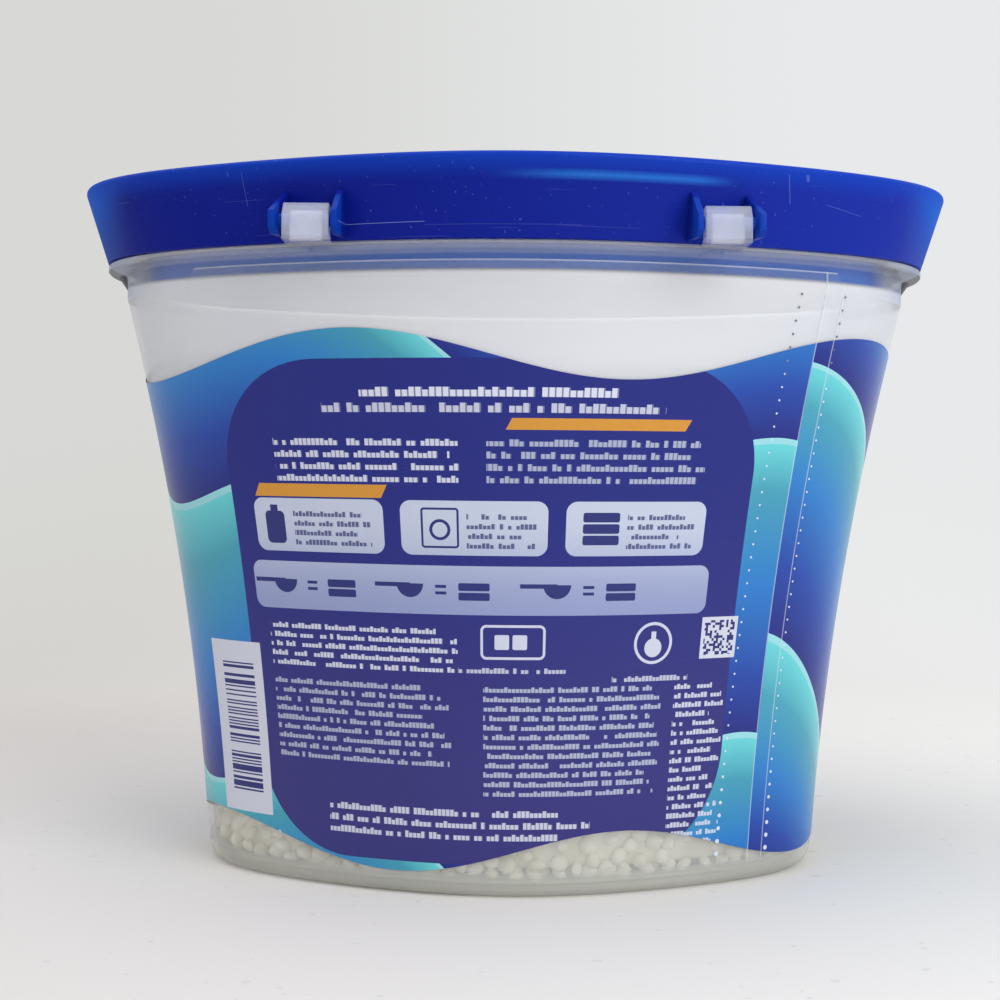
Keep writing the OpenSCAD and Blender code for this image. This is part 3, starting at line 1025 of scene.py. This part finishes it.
def thumbTab():
    f = lidForm
    front = flangeHalf[1] - f["wall"] / 2
    reach = f["tabOut"] + f["wall"] / 2
    radius = (f["tabWidth"] ** 2 / 4 + reach * reach) / (2 * reach)
    half = math.asin(f["tabWidth"] / 2 / radius)
    outline = []
    for i in range(41):
        angle = blendOf(half, -half, i / 40)
        outline.append((radius * math.sin(angle), front + reach - radius + radius * math.cos(angle)))
    return bevelled(prism("thumbTab", outline, lidLow, lidLow + f["tabThick"], 2), 0.4, 3)


print("lid")
ears = [ear(1), ear(-1)]
ears += [mirroredCopy(piece, "earLeft") for piece in ears]
lid = joined("lidMoulding", [lidShell(), thumbTab(), *ears])
smoothed(lid, 34)
lid.data.materials.append(royalBlue)


# The film: a closed thin wall with its own lengths and heights as a UV map, cut at the edges of the print
filmRows = {"below": 3, "printed": 22, "above": 5}


def filmTop(turn):
    f = filmForm
    share = min(max((abs(ovalPoint(wallRing(f["top"]), turn).x) - f["shoulder"]) / f["corner"] + 0.5, 0), 1)
    return blendOf(f["top"], f["endTop"], share * share * (3 - 2 * share))


def filmHeights(turn, length):
    stages = [filmForm["low"], edgeHeight(printLook, "lowerEdge", length)]
    stages += [edgeHeight(printLook, "upperEdge", length), filmTop(turn)]
    heights = [stages[0]]
    for low, high, rows in zip(stages, stages[1:], filmRows.values()):
        heights += [blendOf(low, high, i / rows) for i in range(1, rows + 1)]
    return heights


def filmSleeve(columns=576):
    f = filmForm
    turns = [turnAt(f["seam"]) + 2 * math.pi * i / columns for i in range(columns + 1)]
    perTurn = len(roundLengths) - 1
    lengths = []
    for turn in turns:
        wraps, index = divmod((turn / (2 * math.pi) - 0.75) * perTurn, perTurn)
        low = min(int(index), perTurn - 1)
        lengths.append(blendOf(roundLengths[low], roundLengths[low + 1], index - low) + wraps * filmRound)
    heights = [filmHeights(turn, length) for turn, length in zip(turns[:-1], lengths)]
    levels = len(heights[0])
    rows = []
    for level in range(levels):
        outer = -f["gap"] - f["thick"]
        rows.append([ovalPoint(wallRing(h[level], outer), t) for h, t in zip(heights, turns)])
    for level in reversed(range(levels)):
        rows.append([ovalPoint(wallRing(h[level], -f["gap"]), t) for h, t in zip(heights, turns)])
    piece = objectFrom("filmSleeve", *loftRows(rows, closed=True))
    wrap = piece.data.uv_layers.new(name="wrap")
    firstPrinted = filmRows["below"]
    lastPrinted = firstPrinted + filmRows["printed"] - 1
    for polygon in piece.data.polygons:
        row, column = divmod(polygon.index, columns)
        if firstPrinted <= row <= lastPrinted:
            polygon.material_index = 1
        if firstPrinted <= 2 * levels - 2 - row <= lastPrinted:
            polygon.material_index = 2
        for corner in polygon.loop_indices:
            vertex = piece.data.loops[corner].vertex_index
            place = vertex % columns
            if place == 0 and column == columns - 1:
                place = columns
            u = (lengths[place] - f["seam"]) / filmRound
            wrap.data[corner].uv = (u, piece.data.vertices[vertex].co.z / mm / f["tall"])
    return smoothed(piece, 40)


print("film")
sleeve = filmSleeve()
for coat in (filmClear, filmPrinted, filmBack):
    sleeve.data.materials.append(coat)

# The tear lines: rows of pricked dots beside the joint of the film
tearLook = {
    "lines": [(59.9, 56.0), (71.6, 72.4)],  # distance right of the rear middle, at the top and at the foot
    "high": 140.0,
    "low": 8.0,
    "pitch": 3.05,
    "radius": 0.26,
    "thick": 0.12,
    "swell": 2.3,  # how much larger the lowest dots are
    "swellBelow": 33.0,
}


def geometryTree(name, sizes):
    tree = bpy.data.node_groups.new(name, "GeometryNodeTree")
    tree.interface.new_socket("Geometry", in_out="INPUT", socket_type="NodeSocketGeometry")
    for label, (kind, value) in sizes.items():
        socket = tree.interface.new_socket(label, in_out="INPUT", socket_type=kind)
        if value is not None:
            socket.default_value = value
    tree.interface.new_socket("Geometry", in_out="OUTPUT", socket_type="NodeSocketGeometry")

    def add(kind, settings=None, inputs=None):
        made = tree.nodes.new(kind)
        for key, value in (settings or {}).items():
            setattr(made, key, value)
        for key, value in (inputs or {}).items():
            if isinstance(value, bpy.types.Node):
                value = value.outputs[0]
            if isinstance(value, bpy.types.NodeSocket):
                tree.links.new(value, made.inputs[key])
            else:
                made.inputs[key].default_value = value
        return made

    return tree, add, tree.nodes.new("NodeGroupInput").outputs


def throughNodes(piece, tree, values):
    # runs the tree on a piece and keeps the result as a plain mesh
    modifier = piece.modifiers.new(tree.name, "NODES")
    modifier.node_group = tree
    for item in tree.interface.items_tree:
        if item.item_type == "SOCKET" and item.in_out == "INPUT" and item.name in values:
            modifier[item.identifier] = values[item.name]
    piece.update_tag()
    bpy.context.view_layer.update()
    return finished(piece)


def tearDots(look):
    points = []
    edges = []
    steps = 60
    for top, foot in look["lines"]:
        for i in range(steps + 1):
            height = blendOf(look["high"], look["low"], i / steps)
            turn = turnAt(blendOf(top, foot, i / steps))
            ring = wallRing(height, -filmForm["gap"] - filmForm["thick"])
            if i:
                edges.append((len(points) - 1, len(points)))
            points.append(ovalPoint(ring, turn) * mm)
    mesh = bpy.data.meshes.new("tearDots")
    mesh.from_pydata(points, edges, [])
    dots = linked("tearDots", mesh)

    tree, add, given = geometryTree(
        "dotsAlongTear",
        {
            "Film": ("NodeSocketObject", None),
            "Pitch": ("NodeSocketFloat", 0.003),
            "Radius": ("NodeSocketFloat", 0.0003),
            "Thickness": ("NodeSocketFloat", 0.0001),
            "Swell": ("NodeSocketFloat", 2.0),
            "Swell below": ("NodeSocketFloat", 0.03),
            "Ink": ("NodeSocketMaterial", None),
        },
    )
    path = add("GeometryNodeMeshToCurve", {}, {0: given["Geometry"]})
    inputs = {"Curve": path, "Length": given["Pitch"]}
    spots = add("GeometryNodeCurveToPoints", {"mode": "LENGTH"}, inputs)
    wall = add("GeometryNodeObjectInfo", {"transform_space": "RELATIVE"}, {"Object": given["Film"]})
    inputs = {"Mesh": wall.outputs["Geometry"], "Value": add("GeometryNodeInputNormal")}
    nearest = add("GeometryNodeSampleNearestSurface", {"data_type": "FLOAT_VECTOR"}, inputs)
    facing = add("FunctionNodeAlignRotationToVector", {"axis": "Z"}, {"Vector": nearest})
    height = add("ShaderNodeSeparateXYZ", {}, {0: add("GeometryNodeInputPosition")})
    inputs = {0: height.outputs[2], 1: given["Swell below"], 2: 0.006}
    inputs.update({3: 1.0, 4: given["Swell"]})
    grown = add("ShaderNodeMapRange", {}, inputs)
    size = add("ShaderNodeCombineXYZ", {}, {0: grown, 1: grown, 2: 1.0})
    inputs = {"Vertices": 12, "Radius": given["Radius"], "Depth": given["Thickness"]}
    disk = add("GeometryNodeMeshCylinder", {}, inputs)
    inputs = {"Points": spots.outputs["Points"], "Instance": disk.outputs["Mesh"]}
    inputs.update({"Rotation": facing, "Scale": size})
    placed = add("GeometryNodeInstanceOnPoints", {}, inputs)
    real = add("GeometryNodeRealizeInstances", {}, {0: placed})
    inputs = {"Geometry": real, "Material": given["Ink"]}
    inked = add("GeometryNodeSetMaterial", {}, inputs)
    add("NodeGroupOutput", {}, {0: inked})
    sizes = {"Pitch": look["pitch"], "Radius": look["radius"], "Thickness": look["thick"]}
    sizes["Swell below"] = look["swellBelow"]
    values = {label: size * mm for label, size in sizes.items()}
    values.update({"Film": sleeve, "Swell": look["swell"], "Ink": tearInk})
    return throughNodes(dots, tree, values)


print("tear lines")
tear = tearDots(tearLook)

# The beads: small pastilles over a cream core, close against the wall, the floor and on top
beadLook = {
    "fill": 86.0,
    "mound": 4.0,
    "run": 30.0,  # how far in from the wall the heap rises
    "lump": 1.1,
    "lumpPitch": 8.6,
    "sink": 0.7,  # how far the top lies under the part's own heap, so that the scoop rests clear
    "gap": 0.4,
    "diameter": 4.3,
    "flatness": 0.62,
    "spacing": 3.5,
    "vary": 0.14,
    "tilt": 0.9,
    "seed": 7,
    "depth": 1.75,  # how far the middles of the outer beads lie inside the heap
    "coreDepth": 2.6,
    "wallLayerTop": 27.0,
}


def heapLoft(name, look, depth, columns):
    # the heap's outline, set in from the tub's wall and lowered, with its low lumps on top
    gap = tubForm["wall"] + look["gap"] + depth
    radius = tubForm["footRadius"] - tubForm["wall"]
    low = floorTop + look["gap"] + depth
    rings = []
    for i in range(5):
        angle = math.pi / 2 * i / 4
        rings.append(wallRing(low + radius * (1 - math.cos(angle)), gap + radius * (1 - math.sin(angle))))
    shoulder = look["fill"] - look["lump"] - depth - look["sink"]
    rings += [wallRing(blendOf(low + radius, shoulder, i / 12), gap) for i in range(1, 13)]
    ledge = look["lumpPitch"] / 2
    onTop = int((wallRing(look["fill"], gap)[1] - ledge) / ledge)
    for i in range(1, onTop + 1):
        climb = look["mound"] * math.sin(math.pi / 2 * min(i * ledge / look["run"], 1))
        rings.append(wallRing(look["fill"], gap + i * ledge, shoulder + climb))
    heap = loft(name, rings, columns)
    turn = 2 * math.pi / look["lumpPitch"] / mm
    for vertex in heap.data.vertices[-onTop * columns:-columns]:
        vertex.co.z += look["lump"] * mm * 0.8 * math.cos(turn * vertex.co.x) * math.cos(turn * vertex.co.y)
    return heap


def beadSkin(look, columns=120):
    # faces that carry beads: the foot of the wall, the floor and the top
    shell = heapLoft("beadSkin", look, look["depth"], columns)
    mesh = bmesh.new()
    mesh.from_mesh(shell.data)
    bmesh.ops.triangulate(mesh, faces=[f for f in mesh.faces if len(f.verts) > 4])
    top = look["fill"] - look["lump"] - look["depth"] - 0.5
    hidden = []
    for face in mesh.faces:
        height = face.calc_center_median().z / mm
        if look["wallLayerTop"] < height < top and abs(face.normal.z) < 0.5:
            hidden.append(face)
    bmesh.ops.delete(mesh, geom=hidden, context="FACES")
    mesh.to_mesh(shell.data)
    mesh.free()
    return shell


def beadTree():
    tree, add, given = geometryTree(
        "beadScatter",
        {
            "Diameter": ("NodeSocketFloat", 0.004),
            "Flatness": ("NodeSocketFloat", 0.6),
            "Spacing": ("NodeSocketFloat", 0.0036),
            "Vary": ("NodeSocketFloat", 0.1),
            "Tilt": ("NodeSocketFloat", 0.5),
            "Seed": ("NodeSocketInt", 1),
            "Wax": ("NodeSocketMaterial", None),
        },
    )
    seed = given["Seed"]
    inputs = {"Mesh": given["Geometry"], "Distance Min": given["Spacing"]}
    inputs.update({"Density Max": 260000.0, "Seed": seed})
    spots = add("GeometryNodeDistributePointsOnFaces", {"distribute_method": "POISSON"}, inputs)
    radius = add("ShaderNodeMath", {"operation": "MULTIPLY"}, {0: given["Diameter"], 1: 0.5})
    ball = add("GeometryNodeMeshUVSphere", {}, {"Segments": 8, "Rings": 5, "Radius": radius})
    flat = add("ShaderNodeCombineXYZ", {}, {0: 1.0, 1: 1.0, 2: given["Flatness"]})
    pastille = add("GeometryNodeTransform", {}, {"Geometry": ball.outputs["Mesh"], "Scale": flat})
    less = add("ShaderNodeMath", {"operation": "SUBTRACT"}, {0: 1.0, 1: given["Vary"]})
    more = add("ShaderNodeMath", {"operation": "ADD"}, {0: 1.0, 1: given["Vary"]})
    inputs = {2: less, 3: more, "Seed": seed}
    size = add("FunctionNodeRandomValue", {"data_type": "FLOAT"}, inputs)
    back = add("ShaderNodeMath", {"operation": "MULTIPLY"}, {0: given["Tilt"], 1: -1.0})
    lowTilt = add("ShaderNodeCombineXYZ", {}, {0: back, 1: back, 2: -3.14})
    highTilt = add("ShaderNodeCombineXYZ", {}, {0: given["Tilt"], 1: given["Tilt"], 2: 3.14})
    inputs = {0: lowTilt, 1: highTilt, "Seed": seed}
    tilt = add("FunctionNodeRandomValue", {"data_type": "FLOAT_VECTOR"}, inputs)
    lean = add("FunctionNodeEulerToRotation", {}, {0: tilt})
    inputs = {0: spots.outputs["Rotation"], 1: lean}
    turned = add("FunctionNodeRotateRotation", {"rotation_space": "LOCAL"}, inputs)
    inputs = {"Points": spots.outputs["Points"], "Instance": pastille}
    inputs.update({"Rotation": turned, "Scale": size.outputs[1]})
    placed = add("GeometryNodeInstanceOnPoints", {}, inputs)
    real = add("GeometryNodeRealizeInstances", {}, {0: placed})
    smooth = add("GeometryNodeSetShadeSmooth", {}, {0: real})
    inputs = {"Geometry": smooth, "Material": given["Wax"]}
    waxed = add("GeometryNodeSetMaterial", {}, inputs)
    add("NodeGroupOutput", {}, {0: waxed})
    return tree


print("beads")
beadValues = {label.capitalize(): beadLook[label] for label in ("flatness", "vary", "tilt", "seed")}
beadValues.update({label.capitalize(): beadLook[label] * mm for label in ("diameter", "spacing")})
beadValues["Wax"] = wax
beads = throughNodes(beadSkin(beadLook), beadTree(), beadValues)
beads.name = "beads"
core = smoothed(heapLoft("beadCore", beadLook, beadLook["coreDepth"], 96), 60)
core.data.materials.append(wax)
print("bead triangles", sum(len(p.vertices) - 2 for p in beads.data.polygons))

# The scoop keeps its own shape and gets its plastic
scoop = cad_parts["scoop"]
scoop.data.materials.clear()
scoop.data.materials.append(scoopClear)

# Floor, backdrop and lamps
stageLook = {
    # painted light: the floor, far floor and backdrop run lighter towards the right, where more light falls
    "floor": (tone(214, 210, 208), tone(233, 233, 232)),  # at the left and at the right
    "farFloor": (tone(213, 211, 208), tone(235, 235, 235)),
    "backdrop": (tone(216, 217, 214), tone(231, 233, 234)),
    "spread": 260,
    "reach": 330,  # how far from the object the floor is lit paper that takes its shadow
    "speck": tone(196, 196, 196),
    "sky": tone(224, 224, 223),
    "world": 0.73,
    "lamps": [
        # place, aim, size and power
        ((700, -850, 650), (0, 0, 90), 900, 7.5),
        ((-300, -100, 1000), (0, 0, 60), 900, 3.8),
    ],
}


def cyclorama(look):
    reach, back, bend = 3000.0, 900.0, 400.0
    profile = [(-2500.0, 0.0), (back - bend, 0.0)]
    for i in range(1, 17):
        angle = math.pi / 2 * i / 16
        profile.append((back - bend + bend * math.sin(angle), bend - bend * math.cos(angle)))
    profile.append((back, 2600.0))
    points = [(-reach, y, z) for y, z in profile] + [(reach, y, z) for y, z in profile]
    count = len(profile)
    faces = [(i, count + i, count + i + 1, i + 1) for i in range(count - 1)]
    stage = objectFrom("studioSweep", points, faces)
    stage.data.shade_smooth()
    paint = Paint("studioPaper")
    x, y, z = paint.place()
    # painted light: lighter towards the right
    right = x.rise(-look["spread"], look["spread"])
    specks = (paint.speckle(260, 0) > 0.8) * 0.35
    colour = paint.mix(specks, paint.mix(right, *look["floor"]), look["speck"])
    inputs = {"Base Color": colour, "Roughness": 0.8, "Specular IOR Level": 0.1}
    paper = paint.node("ShaderNodeBsdfPrincipled", {}, inputs)
    # past the object's shadow the paper is seen as an even tone that fades into the floor's
    away = (x * x + y * y) / (look["reach"] * look["reach"])
    tones = [paint.mix(right, *look[part]) for part in ("farFloor", "backdrop")]
    seen = paint.mix(away.rise(1.6, 9) + z.rise(0, 400), *tones)
    plain = paint.node("ShaderNodeEmission", {}, {"Color": seen, "Strength": 1.0})
    rays = paint.node("ShaderNodeLightPath")
    direct = paint.value(rays.outputs["Is Camera Ray"]) + paint.value(rays.outputs["Is Glossy Ray"])
    direct = (direct + paint.value(rays.outputs["Is Transmission Ray"])).atMost(1)
    share = direct * away.rise(0.35, 1.9)
    both = paint.node("ShaderNodeMixShader", {}, {0: share, 1: paper, 2: plain})
    paint.node("ShaderNodeOutputMaterial", {}, {"Surface": both})
    stage.data.materials.append(paint.material)
    return stage


def studioWorld(look):
    # even white light, and the backdrop's own colour wherever the world itself is seen
    world = bpy.data.worlds.new("studioWorld")
    world.use_nodes = True
    tree = world.node_tree
    link = tree.links.new
    light = tree.nodes["Background"]
    light.inputs["Color"].default_value = (1.0, 1.0, 1.0, 1.0)
    light.inputs["Strength"].default_value = look["world"]
    seen = tree.nodes.new("ShaderNodeBackground")
    seen.inputs["Color"].default_value = look["sky"]
    path = tree.nodes.new("ShaderNodeLightPath")
    either = tree.nodes.new("ShaderNodeMath")
    either.operation = "ADD"
    both = tree.nodes.new("ShaderNodeMixShader")
    link(path.outputs["Is Camera Ray"], either.inputs[0])
    link(path.outputs["Is Glossy Ray"], either.inputs[1])
    for i, shader in enumerate((either, light, seen)):
        link(shader.outputs[0], both.inputs[i])
    link(both.outputs[0], tree.nodes["World Output"].inputs["Surface"])
    return world


print("stage")
cyclorama(stageLook)
for place, aim, size, power in stageLook["lamps"]:
    lamp = bpy.data.lights.new("softLamp", "AREA")
    lamp.size = size * mm
    lamp.energy = power
    lampObject = linked("softLamp", lamp)
    lampObject.location = Vector(place) * mm
    direction = (Vector(aim) - Vector(place)).normalized()
    lampObject.rotation_euler = direction.to_track_quat("-Z", "Y").to_euler()
bpy.context.scene.world = studioWorld(stageLook)
bpy.context.scene.view_settings.view_transform = "Standard"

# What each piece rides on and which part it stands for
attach(tub, "tub_body")
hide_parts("tub")
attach(lid, "lid_body")
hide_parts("lid")
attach(sleeve, "tub_body")
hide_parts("sleeve")
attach(tear, "tub_body")
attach(beads, "tub_body")
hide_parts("beads")
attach(core, "tub_body")
